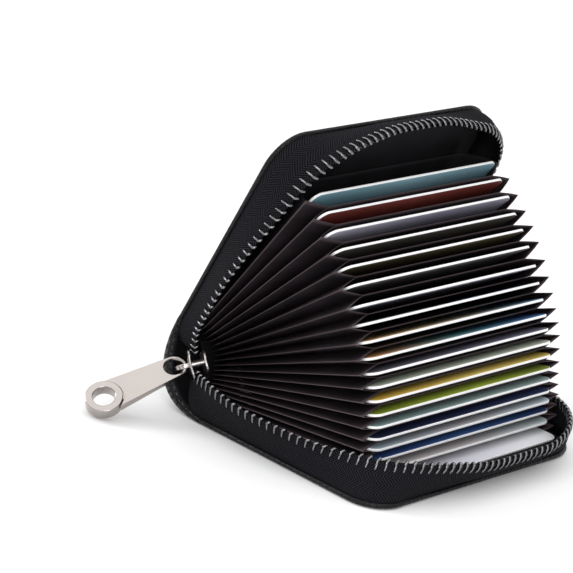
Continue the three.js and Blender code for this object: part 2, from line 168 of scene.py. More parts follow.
def bump(t, b, height, strength, distance, into=None):
    n = t.nodes.new("ShaderNodeBump")
    n.inputs["Strength"].default_value = strength
    n.inputs["Distance"].default_value = distance
    t.links.new(height, n.inputs["Height"])
    if into is not None:
        t.links.new(into, n.inputs["Normal"])
    if b is not None:
        t.links.new(n.outputs[0], b.inputs["Normal"])
    return n.outputs[0]


def leather_material():
    m, t, b = material("pebbled_leather")
    uv = uv_mm(t)
    warp = noise(t, uv, 0.16, 2.0)
    off = node(t, "ShaderNodeVectorMath", operation="MULTIPLY_ADD")
    t.links.new(warp.outputs["Color"], off.inputs[0])
    off.inputs[1].default_value = (2.8, 3.4, 0)
    t.links.new(uv, off.inputs[2])
    big = node(t, "ShaderNodeTexVoronoi", voronoi_dimensions="2D", feature="DISTANCE_TO_EDGE", Scale=0.36)
    t.links.new(off.outputs[0], big.inputs["Vector"])
    small = node(t, "ShaderNodeTexVoronoi", voronoi_dimensions="2D", feature="DISTANCE_TO_EDGE", Scale=0.95)
    t.links.new(off.outputs[0], small.inputs["Vector"])
    def dome(d, k):
        x = math_node(t, "SUBTRACT", 1.0, math_node(t, "MINIMUM", math_node(t, "MULTIPLY", d, k), 1.0))
        return math_node(t, "SUBTRACT", 1.0, math_node(t, "MULTIPLY", x, x))

    hb = dome(big.outputs["Distance"], 3.5)
    hs = dome(small.outputs["Distance"], 3.2)
    fine = noise(t, uv, 3.2, 4.0)
    h = math_node(t, "ADD", math_node(t, "MULTIPLY", hb, 0.78), math_node(t, "MULTIPLY", hs, 0.16))
    h = math_node(t, "ADD", h, math_node(t, "MULTIPLY", fine.outputs["Fac"], 0.06))
    # the grain is pressed nearly smooth where the leather is rolled round the edge
    at = node(t, "ShaderNodeAttribute", attribute_name="crease", attribute_type="GEOMETRY")
    flat = math_node(t, "MULTIPLY", at.outputs["Fac"], 0.8)
    h = math_node(t, "ADD", math_node(t, "MULTIPLY", h, math_node(t, "SUBTRACT", 1.0, flat)), math_node(t, "MULTIPLY", flat, 0.42))
    bump(t, b, h, 1.0, 0.0008)
    patch = noise(t, uv, 0.05, 2.0)
    tone = math_node(t, "ADD", math_node(t, "MULTIPLY", h, 0.80), math_node(t, "MULTIPLY", patch.outputs["Fac"], 0.30))
    t.links.new(ramp(t, tone, [(0.1, (0.0018, 0.0018, 0.0021)), (0.55, (0.0046, 0.0046, 0.0054)), (1.0, (0.0082, 0.0082, 0.0095))]), b.inputs["Base Color"])
    t.links.new(ramp(t, tone, [(0.1, (0.55,) * 3), (0.6, (0.33,) * 3), (1.0, (0.24,) * 3)]), b.inputs["Roughness"])
    t.links.new(ramp(t, tone, [(0.1, (0.08,) * 3), (0.6, (0.25,) * 3), (1.0, (0.36,) * 3)]), b.inputs["Specular IOR Level"])
    return m


def tape_material():
    m, t, b = material("zip_tape_twill")
    u, v, _ = separate(t, uv_mm(t))
    k = 2 * math.pi / 0.52
    warp = math_node(t, "SINE", math_node(t, "MULTIPLY", u, k))
    weft = math_node(t, "SINE", math_node(t, "MULTIPLY", v, k))
    # herringbone: the twill line changes direction every 2.4 mm of height
    zig = math_node(t, "PINGPONG", v, 2.4)
    twill = math_node(t, "SINE", math_node(t, "MULTIPLY", math_node(t, "ADD", u, zig), 2 * math.pi / 0.85))
    weave = math_node(t, "ADD", math_node(t, "MULTIPLY", math_node(t, "MULTIPLY", warp, weft), 0.35), math_node(t, "MULTIPLY", twill, 0.75))
    fuzz = noise(t, uv_mm(t), 1.4, 4.0)
    h = math_node(t, "ADD", weave, math_node(t, "MULTIPLY", fuzz.outputs["Fac"], 0.8))
    bump(t, b, h, 0.9, 0.00013)
    t.links.new(ramp(t, math_node(t, "MULTIPLY_ADD", h, 0.4), [(0.12, (0.0008, 0.0008, 0.0011)), (0.5, (0.0047, 0.0045, 0.0059)), (0.9, (0.0208, 0.0200, 0.0248))]), b.inputs["Base Color"])
    t.links.new(ramp(t, fuzz.outputs["Fac"], [(0.3, (0.72,) * 3), (0.7, (0.88,) * 3)]), b.inputs["Roughness"])
    b.inputs["Specular IOR Level"].default_value = 0.05
    return m


def cloth_material(name, dark, light, crease):
    """A fine plain weave; the point attribute crease is 1 on a pressed fold, where the colour crease is mixed in as a
    painted highlight along the fold.
    """
    m, t, b = material(name)
    uv = uv_mm(t)
    u, v, _ = separate(t, uv)
    k = 2 * math.pi / 0.42
    weave = math_node(t, "MULTIPLY", math_node(t, "SINE", math_node(t, "MULTIPLY", u, k)), math_node(t, "SINE", math_node(t, "MULTIPLY", v, k)))
    cloud = noise(t, uv, 0.09, 3.0)
    h = math_node(t, "ADD", math_node(t, "MULTIPLY", weave, 0.5), math_node(t, "MULTIPLY", cloud.outputs["Fac"], 1.2))
    bump(t, b, h, 0.5, 0.00006)
    # painted highlight: the base colour is mixed towards the lighter crease colour along pressed folds and sheet edges
    at = node(t, "ShaderNodeAttribute", attribute_name="crease", attribute_type="GEOMETRY")
    base = ramp(t, cloud.outputs["Fac"], [(0.25, dark), (0.75, light)])
    fold_highlight_mix = t.nodes.new("ShaderNodeMix")
    fold_highlight_mix.data_type = "RGBA"
    t.links.new(at.outputs["Fac"], fold_highlight_mix.inputs[0])
    t.links.new(base, fold_highlight_mix.inputs[6])
    fold_highlight_mix.inputs[7].default_value = (*crease, 1)
    t.links.new(fold_highlight_mix.outputs[2], b.inputs["Base Color"])
    t.links.new(ramp(t, cloud.outputs["Fac"], [(0.3, (0.66,) * 3), (0.7, (0.82,) * 3)]), b.inputs["Roughness"])
    b.inputs["Specular IOR Level"].default_value = 0.10
    return m


def metal_material(name, dark, light, rough_lo, rough_hi, scale, grain=0.05):
    m, t, b = material(name)
    tc = t.nodes.new("ShaderNodeTexCoord")
    n = noise(t, tc.outputs["Object"], scale, 3.0)
    fine = noise(t, tc.outputs["Object"], scale * 14, 2.0)
    t.links.new(ramp(t, n.outputs["Fac"], [(0.25, dark), (0.75, light)]), b.inputs["Base Color"])
    t.links.new(ramp(t, fine.outputs["Fac"], [(0.25, (rough_lo,) * 3), (0.75, (rough_hi,) * 3)]), b.inputs["Roughness"])
    bump(t, b, fine.outputs["Fac"], grain, 0.00001)
    b.inputs["Metallic"].default_value = 1.0
    return m


def thread_material():
    m, t, b = material("stitch_thread")
    u, v, _ = separate(t, uv_mm(t))
    twist = math_node(t, "SINE", math_node(t, "MULTIPLY", math_node(t, "ADD", u, v), 2 * math.pi / 0.4))
    bump(t, b, twist, 0.7, 0.00006)
    t.links.new(ramp(t, math_node(t, "MULTIPLY_ADD", twist, 0.5), [(0.0, (0.030, 0.030, 0.033)), (1.0, (0.105, 0.105, 0.112))]), b.inputs["Base Color"])
    b.inputs["Roughness"].default_value = 0.36
    return m


def card_material(i, stops, along):
    """Plain printed plastic: colours run along the card's long side (0) or its depth (1), in shares of that side; card
    20's run also holds painted shade.
    """
    m, t, b = material("card_face_%02d" % (i + 1))
    uv = uv_mm(t)
    u, v, _ = separate(t, uv)
    share = math_node(t, "DIVIDE", v if along == 0 else u, 85.6 if along == 0 else 53.98)
    drift = noise(t, uv, 0.03, 1.0)
    share = math_node(t, "ADD", share, math_node(t, "MULTIPLY", math_node(t, "SUBTRACT", drift.outputs["Fac"], 0.5), 0.10))
    t.links.new(ramp(t, share, stops), b.inputs["Base Color"])
    grain = noise(t, uv, 2.5, 2.0)
    t.links.new(ramp(t, grain.outputs["Fac"], [(0.3, (0.40,) * 3), (0.7, (0.50,) * 3)]), b.inputs["Roughness"])
    b.inputs["Specular IOR Level"].default_value = 0.3
    return m


def edge_material():
    m, t, b = material("card_edge_white")
    n = noise(t, uv_mm(t), 1.2, 3.0)
    t.links.new(ramp(t, n.outputs["Fac"], [(0.3, (0.86, 0.86, 0.87)), (0.7, (0.92, 0.92, 0.92))]), b.inputs["Base Color"])
    t.links.new(ramp(t, n.outputs["Fac"], [(0.3, (0.38,) * 3), (0.7, (0.5,) * 3)]), b.inputs["Roughness"])
    return m


LEATHER = leather_material()
TAPE = tape_material()
# the last colour of each cloth is the painted highlight put on its pressed folds
BELLOWS = cloth_material("bellows_cloth", (0.0142, 0.0108, 0.0132), (0.0290, 0.0226, 0.0272), (0.135, 0.101, 0.110))
LINING = cloth_material("black_lining", (0.0100, 0.0097, 0.0113), (0.0176, 0.0170, 0.0198), (0.025, 0.025, 0.027))
TEETH = metal_material("zip_teeth_gunmetal", (0.17, 0.17, 0.177), (0.26, 0.26, 0.268), 0.16, 0.26, 500)
NICKEL = metal_material("warm_nickel", (0.42, 0.386, 0.365), (0.465, 0.428, 0.405), 0.2, 0.26, 60)
# painted reflection: a darker copy of the nickel stands for the dark inside of the case mirrored in the slider's plates
SHADED_NICKEL = metal_material("slider_nickel_painted_shade", (0.27, 0.255, 0.25), (0.36, 0.34, 0.335), 0.14, 0.2, 60)
# painted light: a brighter copy of the nickel for the inner plate and post, standing in for light falling on them
# inside the dark case
LIT_NICKEL = metal_material("slider_core_nickel_painted_light", (0.66, 0.63, 0.61), (0.76, 0.73, 0.71), 0.34, 0.42, 60)
THREAD = thread_material()
EDGE = edge_material()


# ---------------------------------------------------------------- mesh helpers
def make(name, verts, faces, mats, face_mat=None, uv=None, crease=None, shade=True, place=W):
    """A mesh object from closed-stack millimetres; uv is one pair per vertex, in millimetres."""
    me = bpy.data.meshes.new(name)
    me.from_pydata([place(v) for v in verts], [], faces)
    for m in mats:
        me.materials.append(m)
    if face_mat is not None:
        me.polygons.foreach_set("material_index", face_mat)
    if uv is not None:
        layer = me.uv_layers.new(name="UVMap")
        idx = np.zeros(len(me.loops), np.int32)
        me.loops.foreach_get("vertex_index", idx)
        layer.data.foreach_set("uv", np.asarray(uv, np.float32)[idx].ravel())
    if crease is not None:
        a = me.attributes.new("crease", "FLOAT", "POINT")
        a.data.foreach_set("value", np.asarray(crease, np.float32))
    bm = bmesh.new()
    bm.from_mesh(me)
    bmesh.ops.recalc_face_normals(bm, faces=bm.faces)
    bm.to_mesh(me)
    bm.free()
    if shade:
        me.polygons.foreach_set("use_smooth", [True] * len(me.polygons))
    o = bpy.data.objects.new(name, me)
    bpy.context.scene.collection.objects.link(o)
    return o


def sharp_by_angle(o, degrees):
    bm = bmesh.new()
    bm.from_mesh(o.data)
    for e in bm.edges:
        if len(e.link_faces) == 2 and e.calc_face_angle(0) > math.radians(degrees):
            e.smooth = False
    bm.to_mesh(o.data)
    bm.free()


class Grid:
    """Collects vertices with their uv and crease, and faces."""

    def __init__(self):
        self.v, self.f, self.uv, self.c, self.m = [], [], [], [], []

    def add(self, p, uv=(0, 0), crease=0.0):
        self.v.append(p)
        self.uv.append(uv)
        self.c.append(crease)
        return len(self.v) - 1

    def face(self, *ids, mat=0):
        self.f.append(ids)
        self.m.append(mat)

    def skin(self, rows, wrap=False, mat=0):
        for a, b in zip(rows, rows[1:]):
            n = len(a)
            for i in range(n if wrap else n - 1):
                j = (i + 1) % n
                self.face(a[i], a[j], b[j], b[i], mat=mat)

    def cap(self, row, mat=0):
        """Closes an end with vertices of its own, so that the shading of the side runs on to the very end."""
        self.face(*[self.add(self.v[i], self.uv[i], self.c[i]) for i in row], mat=mat)

    def object(self, name, mats, **kw):
        return make(name, self.v, self.f, mats, face_mat=self.m, uv=self.uv, crease=self.c, **kw)


def apply_modifiers(o):
    dg = bpy.context.evaluated_depsgraph_get()
    me = bpy.data.meshes.new_from_object(o.evaluated_get(dg), depsgraph=dg)
    o.modifiers.clear()
    o.data = me
    return o


# ---------------------------------------------------------------- covers
def u_outline(d, x0, n_side=14, n_arc=10):
    """Points of a cover's edge, inset by d, from the spine end of the near side round the mouth to the far side."""
    half, mouth = HALF - d, MOUTH - d
    halves = []
    for side in (-1, 1):
        r = max(CORNER[side] - d, 1.2)
        pts = [(x0 + (mouth - r - x0) * i / n_side, side * half) for i in range(n_side)]
        for i in range(n_arc + 1):
            a = math.pi / 2 * i / n_arc
            pts.append((mouth - r + r * math.sin(a), side * (half - r + r * math.cos(a))))
        halves.append(pts)
    return halves[0] + halves[1][::-1]


def plate(name, up, profile, x0, mats, ladder=18, crown=0.0, rim=0.0):
    """A closed plate in the shape of a cover. profile runs (inset, height above the outer face) from the inner face round the edge to the outer face."""
    g = Grid()
    at = on_cover(up)

    def point(x, y, h):
        return at(x, y, up * (H - h))

    rows = []
    for k, (d, h) in enumerate(profile):
        pressed = rim * min(1.0, max(0.0, (10 - k) / 3))
        rows.append([g.add(point(x, y, h), (x, y), pressed) for x, y in u_outline(d, x0)])
    g.skin(rows)
    # ladders across the inner and the outer face
    for end, (d, h) in ((0, profile[0]), (-1, profile[-1])):
        edge = u_outline(d, x0)
        n = len(edge) // 2
        lines = []
        for i in range(n):
            (xa, ya), (xb, yb) = edge[i], edge[len(edge) - 1 - i]
            line = [rows[end][i]]
            for k in range(1, ladder):
                x, y = xa + (xb - xa) * k / ladder, ya + (yb - ya) * k / ladder
                rise = 0.0
                if end == -1 and crown:
                    fx = min(1.0, (MOUTH - d - x) / 22)
                    fy = 1 - (2 * k / ladder - 1) ** 2
                    rise = crown * smooth(fx) * min(1.0, fy * 1.6)
                line.append(g.add(point(x, y, h - rise), (x, y)))
            line.append(rows[end][len(edge) - 1 - i])
            lines.append(line)
        g.skin(lines)
        if end == 0:
            inner = lines[0]
        else:
            outer = lines[0]
    # the cut at the spine
    ring = [r[0] for r in rows] + outer[1:-1] + [r[-1] for r in reversed(rows)] + inner[1:-1][::-1]
    g.face(*ring)
    return g.object(name, mats)


COVER_PROFILE = [(4.2, 1.44), (2.6, 1.52), (1.3, 1.66), (0.55, 1.58), (0.14, 1.24), (0.0, 0.86), (0.1, 0.47), (0.42, 0.2),
                 (1.0, 0.09), (1.9, 0.08), (2.55, 0.16), (2.85, 0.29), (3.05, 0.33), (3.25, 0.29), (3.6, 0.17), (4.5, 0.05), (6.5, 0.0), (9.0, 0.0)]
LINING_PROFILE = [(3.2, 2.19), (2.75, 2.17), (2.55, 2.05), (2.5, 1.9), (2.55, 1.75), (2.8, 1.66)]
for up, word in ((-1, "base"), (1, "top")):
    o = plate(word + "_leather", up, COVER_PROFILE, SPINE_END, [LEATHER], crown=0.45 if up > 0 else 0.0, rim=1.0)
    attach(o, word + "_cover")
    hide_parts(word + "_cover_leather")
    o = plate(word + "_inner_lining", up, LINING_PROFILE, 1.0, [LINING])
    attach(o, word + "_cover")
    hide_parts(word + "_cover_lining")


# ---------------------------------------------------------------- spine leather
def spine_curve(depth, n):
    a = math.radians(PHI)
    ux, uz = math.cos(a), math.sin(a)
    p0 = np.array([SPINE_END, -H + depth])
    e = leaf(PHI, SPINE_END, 0, H - depth)
    p3 = np.array([e[0], e[2]])
    p1 = p0 + np.array([-(17.0 - depth), 0])
    p2 = p3 - np.array([ux, uz]) * (19.0 - depth)
    out = []
    for i in range(n + 1):
        t = i / n
        out.append((1 - t) ** 3 * p0 + 3 * t * (1 - t) ** 2 * p1 + 3 * t * t * (1 - t) * p2 + t ** 3 * p3)
    return np.array(out)


SPINE_N = 40
outer_curve, inner_curve = spine_curve(0.0, SPINE_N), spine_curve(1.45, SPINE_N)
arc = np.concatenate([[0], np.cumsum(np.linalg.norm(np.diff(outer_curve, axis=0), axis=1))])
edge_turn = [(0.0, 0.5), (0.12, 0.22), (0.42, 0.05), (0.9, 0.0)]  # inset from the end, share of thickness
MIDDLE = 20


def spine_piece(name, first, last):
    g = Grid()
    rows = []
    ys = [HALF - d for d, _ in edge_turn]
    flat = np.concatenate([[-HALF + 1.5, -HALF + 2.2, -HALF + 3.0], np.linspace(-HALF + 4.0, HALF - 4.0, 22), [HALF - 3.0, HALF - 2.2, HALF - 1.5]])
    for i in range(first, last + 1):
        loop = []
        around = [(-y, f) for y, (_, f) in zip(ys, edge_turn)] + [(y, 0.0) for y in flat] + [(y, f) for y, (_, f) in reversed(list(zip(ys, edge_turn)))]
        back = [(y, 1 - f) for y, (_, f) in list(zip(ys, edge_turn))[1:]] + [(y, 1.0) for y in flat[::-1]] + [(-y, 1 - f) for y, (_, f) in reversed(list(zip(ys, edge_turn))[1:])]
        for y, f in around + back:
            roll = 1.5 * smooth((abs(y) - 47.0) / 2.6) * math.sin(math.pi * i / SPINE_N)  # the turned edge is thick
            p = outer_curve[i] + (inner_curve[i] - outer_curve[i]) * f * (1 + roll)
            loop.append(g.add((p[0], y, p[1]), (SPINE_END - arc[i] if f < 0.6 else SPINE_END - arc[i] + 40, y)))
        rows.append(loop)
    n_out = len(around)
    for a, b in zip(rows, rows[1:]):
        n = len(a)
        for k in range(n):
            j = (k + 1) % n
            g.face(a[k], a[j], b[j], b[k], mat=0 if k < n_out + 1 or k > n - 3 else 1)
    g.cap(rows[0], mat=1)
    g.cap(rows[-1][::-1], mat=1)
    return g.object(name, [LEATHER, LINING])


low = spine_piece("spine_leather_low", 0, MIDDLE)
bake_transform(low)
high = spine_piece("spine_leather_high", MIDDLE, SPINE_N)
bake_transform(high)
for o in (low, high):
    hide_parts("spine_leather")
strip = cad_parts["spine_back_strip"]
strip.data.materials.clear()
strip.data.materials.append(LINING)

# ---------------------------------------------------------------- zip: one line round each cover
def half_line(t, side, r):
    """(x, y, nx, ny, tx, ty) along one half of the zip, with mouth corner r, from the spine end of a long side; the tangent points to the mouth."""
    straight, bend = EDGE_X - r - TURN_X, r * math.pi / 2
    if t < 0:
        a = -t / TURN_R
        nx, ny = -math.sin(a), math.cos(a)
        return TURN_X + TURN_R * nx, side * (TURN_Y + TURN_R * ny), nx, side * ny, math.cos(a), side * math.sin(a)
    if t < straight:
        return TURN_X + t, side * EDGE_Y, 0.0, float(side), 1.0, 0.0
    if t < straight + bend:
        a = (t - straight) / r
        nx, ny = math.sin(a), math.cos(a)
        return EDGE_X - r + r * nx, side * (EDGE_Y - r + r * ny), nx, side * ny, math.cos(a), -side * math.sin(a)
    return EDGE_X, side * (EDGE_Y - r - (t - straight - bend)), 1.0, 0.0, 0.0, float(-side)


def half_length(side, r):
    return EDGE_X - TURN_X + EDGE_Y - r * (2 - math.pi / 2)


SPLIT = {-1: 49.5, 1: 38.0}  # along each long side: from here to the middle of the mouth the wall bends as the mouth run leans
HALF_T = {k: half_length(k, TEETH_R[k]) for k in (-1, 1)}  # lengths are counted along the teeth
TOTAL = HALF_T[-1] + HALF_T[1]
FOOT_RATE = {k: (half_length(k, ZIP_R[k]) - SPLIT[k]) / (HALF_T[k] - SPLIT[k]) for k in (-1, 1)}
WALL = 10.6
# the mouth run leans out between these distances from the middle: none at the first, all at the second
LEAN_SPAN = {(-1, -1): (49.0, 2.2), (-1, 1): (49.5, 18.7), (1, -1): (49.0, 6.8), (1, 1): (44.8, 7.6)}


def lean_share(up, x, y):
    first, last = LEAN_SPAN[up, -1 if y < 0 else 1]
    return smooth((first - abs(y)) / (first - last)) if x > 40 else 0.0


def bulge(up, x, y):
    """How far the tape bellies out between its foot and its teeth, in millimetres."""
    b = 0.3 + 0.7 * lean_share(up, x, y)
    if up > 0 and y > 0:
        b += 0.9 * smooth((y - 30) / 12) * smooth((x - 44) / 12)
    return b


# the near side, unzipped to its end: how far the teeth stand out from the tape's foot, and how far both rows are drawn up to the slider
NEAR_T = (-6.0, -3.0, 0.0, 3.0, 7.0, 12.0, 18.0, 25.0, 33.0, 41.0, 49.0, 57.0, 65.0)
NEAR_OUT = (0.0, 0.1, 1.2, 2.5, 3.85, 4.8, 5.7, 5.6, 4.6, 3.0, 0.2, -1.0, 0.0)
NEAR_LIFT = (1.8, 1.9, 2.0, 2.3, 1.9, 1.45, 0.9, 0.7, 0.25, -0.2, -0.45, -0.2, 0.0)


def through(xs, ys, x):
    """A smooth curve through points."""
    x = min(xs[-1], max(xs[0], x))
    i = max(k for k in range(len(xs) - 1) if xs[k] <= x)

    def slope(k):
        a, b = max(k - 1, 0), min(k + 1, len(xs) - 1)
        return (ys[b] - ys[a]) / (xs[b] - xs[a])

    w = xs[i + 1] - xs[i]
    q = (x - xs[i]) / w
    return (ys[i] * (1 + 2 * q) * (1 - q) ** 2 + slope(i) * w * q * (1 - q) ** 2
            + ys[i + 1] * q * q * (3 - 2 * q) + slope(i + 1) * w * q * q * (q - 1))


def zip_point(up, side, t, along, off, height):
    """A point of the zip wall: t along one half, off outwards from its middle, height above its foot, along the teeth from t."""
    xe, ye, nxe, nye, tx, ty = half_line(t, side, TEETH_R[side])
    xf, yf, nxf, nyf, _, _ = half_line(t if t < SPLIT[side] else SPLIT[side] + (t - SPLIT[side]) * FOOT_RATE[side], side, ZIP_R[side])
    f = min(1.06, max(0.0, height / WALL))
    if side < 0:
        height -= up * through(NEAR_T, NEAR_LIFT, t) * f
        off += through(NEAR_T, NEAR_OUT, t) * f
    nx, ny = nxf + (nxe - nxf) * f, nyf + (nye - nyf) * f
    k = 1 / math.hypot(nx, ny)
    if t > 0:
        off += 4 * f * (1 - f) * bulge(up, xf, yf) * smooth(t / 8)
    x = xf + (xe - xf) * f + nx * k * off + tx * along
    y = yf + (ye - yf) * f + ny * k * off + ty * along
    b = math.radians(LEAN[up]) * lean_share(up, x, y)
    if b:
        dx = x - EDGE_X
        x, height = EDGE_X + dx * math.cos(b) + height * math.sin(b), -dx * math.sin(b) + height * math.cos(b)
    return on_cover(up)(x, y, up * (FOOT - height))


RUNS = {"near": (-1, False), "mouth_near": (-1, True), "mouth_far": (1, True), "far": (1, False)}
TURN_IN = {-1: 0.95, 1: 0.62}  # radians of the spine turn that carry tape


def run_ends(up, run):
    side, mouth = RUNS[run]
    return (SPLIT[side], HALF_T[side]) if mouth else (-TURN_R * TURN_IN[up], SPLIT[side])


def carry(o, up, run, nodes):
    word = "base" if up < 0 else "top"
    side, mouth = RUNS[run]
    if mouth:
        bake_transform(o)
    else:
        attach(o, word + "_cover")
        if side < 0:  # zipped up, the near side stands straight again
            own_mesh(o)
    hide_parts(*nodes)


TAPE_SECTION = [(0.40, -0.32), (0.46, 0.6), (0.55, 2.2), (0.62, 4.4), (0.58, 6.6), (0.47, 8.4), (0.40, 9.6), (0.30, 10.2),
                (0.0, 10.42), (-0.28, 10.2), (-0.36, 9.6), (-0.36, 7.0), (-0.36, 3.5), (-0.36, -0.32)]


def tape(up, run):
    a, b = run_ends(up, run)
    side = RUNS[run][0]
    n = max(8, int((b - a) / 1.3))
    g = Grid()
    rows = []
    for i in range(n + 1):
        t = a + (b - a) * i / n
        v, prev, row = 0.0, None, []
        for off, hgt in TAPE_SECTION:
            if t < 0:  # the tape's foot rises off the leather as it turns in
                hgt = max(hgt, -0.28 * t - 0.3)
            if prev:
                v += math.hypot(off - prev[0], hgt - prev[1])
            prev = (off, hgt)
            row.append(g.add(zip_point(up, side, t, 0.0, off, hgt), (t if side < 0 else TOTAL - t, v)))
        rows.append(row)
    n = len(TAPE_SECTION)
    for ra, rb in zip(rows, rows[1:]):
        for i in range(n):
            q = (i + 1) % n
            g.face(ra[i], ra[q], rb[q], rb[i], mat=0 if i < 9 or i == n - 1 else 1)
    g.cap(rows[0])
    g.cap(rows[-1][::-1])
    return g.object("%s_tape_%s" % ("base" if up < 0 else "top", run), [TAPE, LINING])


# one tooth of the coil: up the outside of the tape, over its edge with a bulging head, down the inside; (along, out, height, radius)
TOOTH = [(-0.05, 0.62, 8.1, 0.15), (-0.04, 0.75, 8.35, 0.27), (-0.02, 0.80, 9.0, 0.31), (0.03, 0.78, 9.7, 0.33), (0.14, 0.67, 10.3, 0.37),
         (0.36, 0.38, 10.66, 0.43), (0.54, 0.0, 10.74, 0.46), (0.60, -0.36, 10.66, 0.43), (0.50, -0.62, 10.3, 0.36), (0.30, -0.72, 9.6, 0.32),
         (0.06, -0.74, 8.9, 0.30), (-0.16, -0.68, 8.3, 0.25), (-0.22, -0.60, 8.1, 0.14)]


def tooth_frames():
    pts = np.array([p[:3] for p in TOOTH])
    frames = []
    for i in range(len(pts)):
        d = pts[min(i + 1, len(pts) - 1)] - pts[max(i - 1, 0)]
        d /= np.linalg.norm(d)
        side = np.cross(d, (0.3, 0.0, 1.0) if abs(d[2]) < 0.9 else (1.0, 0.0, 0.0))
        side /= np.linalg.norm(side)
        frames.append((pts[i], side, np.cross(d, side), TOOTH[i][3]))
    return frames


TOOTH_FRAMES = tooth_frames()


def places(up):
    """Where the teeth sit, counted along both halves: evenly spaced along the edge itself."""
    us = np.arange(-5.25, TOTAL + 5.25, 0.25)
    pts = np.array([zip_point(up, -1, u, 0, 0, 10.6) if u < HALF_T[-1] else zip_point(up, 1, TOTAL - u, 0, 0, 10.6) for u in us])
    way = np.concatenate([[0], np.cumsum(np.linalg.norm(np.diff(pts, axis=0), axis=1))])
    return np.interp(np.arange(0.5 if up > 0 else 0.0, way[-1] / PITCH) * PITCH, way, us)


def teeth(up, run):
    a, b = run_ends(up, run)
    side = RUNS[run][0]
    g = Grid()
    for whole in places(up):
        t = whole if side < 0 else TOTAL - whole
        if t < max(a, -4.2 if run == "near" else -2.6) or t >= b:
            continue
        rows = []
        for p, across, other, r in TOOTH_FRAMES:
            ring = []
            for q in range(8):
                an = 2 * math.pi * q / 8
                al, ou, he = p + (across * math.cos(an) + other * math.sin(an)) * r
                ring.append(g.add(zip_point(up, side, t, -side * al, ou, he), (al, he)))
            rows.append(ring)
        g.skin(rows, wrap=True)
        g.face(*rows[0])
        g.face(*reversed(rows[-1]))
    return g.object("%s_teeth_%s" % ("base" if up < 0 else "top", run), [TEETH])


for up, word in ((-1, "base"), (1, "top")):
    for run in RUNS:
        node_word = run if run in ("near", "far") else "front"
        o = tape(up, run)
        carry(o, up, run, [f"{word}_zip_tape_{node_word}"])
        o = teeth(up, run)
        carry(o, up, run, [f"{word}_zip_teeth_{node_word}"])


# ---------------------------------------------------------------- stitching on the outside of the covers
def stitches(up):
    g = Grid()
    at = on_cover(up)
    d = 3.05
    half, mouth = HALF - d, MOUTH - d
    start = SPINE_END + 1.0
    r = {k: c - d for k, c in CORNER.items()}
    side = {k: mouth - v - start for k, v in r.items()}
    bend = {k: v * math.pi / 2 for k, v in r.items()}
    middle = side[-1] + bend[-1] + half - r[-1]
    total = middle + side[1] + bend[1] + half - r[1]

    def branch(t, k):
        if t < side[k]:
            return start + t, k * half, 1.0, 0.0
        if t < side[k] + bend[k]:
            a = (t - side[k]) / r[k]
            return mouth - r[k] + r[k] * math.sin(a), k * (half - r[k] + r[k] * math.cos(a)), math.cos(a), -k * math.sin(a)
        return mouth, k * (half - r[k] - (t - side[k] - bend[k])), 0.0, float(-k)

    def line(t):
        if t > middle:
            x, y, tx, ty = branch(total - t, 1)
            return x, y, -tx, -ty
        return branch(t, -1)

    n = int(total / 3.1)
    for k in range(n):
        t0 = total * (k + 0.5) / n
        rows = []
        for q, (along, sink, rad) in enumerate([(-1.18, 0.50, 0.10), (-1.0, 0.37, 0.2), (-0.55, 0.25, 0.25), (0.0, 0.22, 0.26), (0.55, 0.25, 0.25), (1.0, 0.37, 0.2), (1.18, 0.50, 0.10)]):
            x, y, tx, ty = line(t0 + along)
            skew = 0.16 * along
            ring = []
            for j in range(7):
                an = 2 * math.pi * j / 7
                side_off = rad * 1.15 * math.cos(an) + skew
                ring.append(g.add(at(x + ty * side_off, y - tx * side_off, up * (H - (sink + rad * math.sin(an) * 0.85))), (along, an * rad)))
            rows.append(ring)
        g.skin(rows, wrap=True)
        g.face(*rows[0])
        g.face(*reversed(rows[-1]))
    return g.object("%s_stitching" % ("base" if up < 0 else "top"), [THREAD])


for up, word in ((-1, "base"), (1, "top")):
    o = stitches(up)
    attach(o, word + "_cover")

# ---------------------------------------------------------------- bellows: each pocket is an upper and a lower sheet that meet at its pleats
VALLEY_NEAR, VALLEY_FAR = -35.6, 42.0


def near_ridge(j):
    return -44.3


def far_ridge(j):
    if j == 0:
        return 44.6
    return 46.4 + 2.4 * smooth(j / 4) - 1.0 * smooth((j - 10) / 4)


def far_lift(j):
    """Degrees by which a pleat's far tip stands above its card's leaf."""
    return 1.15 * smooth(j / 8)


def sheet_width(j):
    """(y, share of the way from the divider to the ridge, crease, end) across one sheet; crease weighs the painted
    highlight along the folds.
    """
    yn, yf = near_ridge(j), far_ridge(j)
    row = []
    # c weighs the painted highlight on the pressed fold at the ridge and at the valley
    for f, c in ((1.0, 1.0), (0.955, 0.55), (0.90, 0.0), (0.62, 0.0), (0.34, 0.0), (0.10, 0.0), (0.0, 0.25)):
        bow = 0.35 * math.sin(math.pi * f)
        row.append((VALLEY_NEAR + (yn - VALLEY_NEAR) * f - bow, f, c, -1))
    for k in range(1, 12):
        row.append((VALLEY_NEAR + (VALLEY_FAR - VALLEY_NEAR) * k / 12, 0.0, 0.0, 0))
    for f, c in ((0.0, 0.25), (0.10, 0.0), (0.34, 0.0), (0.62, 0.0), (0.90, 0.0), (0.955, 0.55), (1.0, 1.0)):
        bow = 0.35 * math.sin(math.pi * f)
        row.append((VALLEY_FAR + (yf - VALLEY_FAR) * f + bow, f, c, 1))
    return row


SHARES = [0.0, 0.06, 0.14, 0.24, 0.36, 0.5, 0.64, 0.78, 0.9, 0.97, 1.0]
CLOTH = 0.11


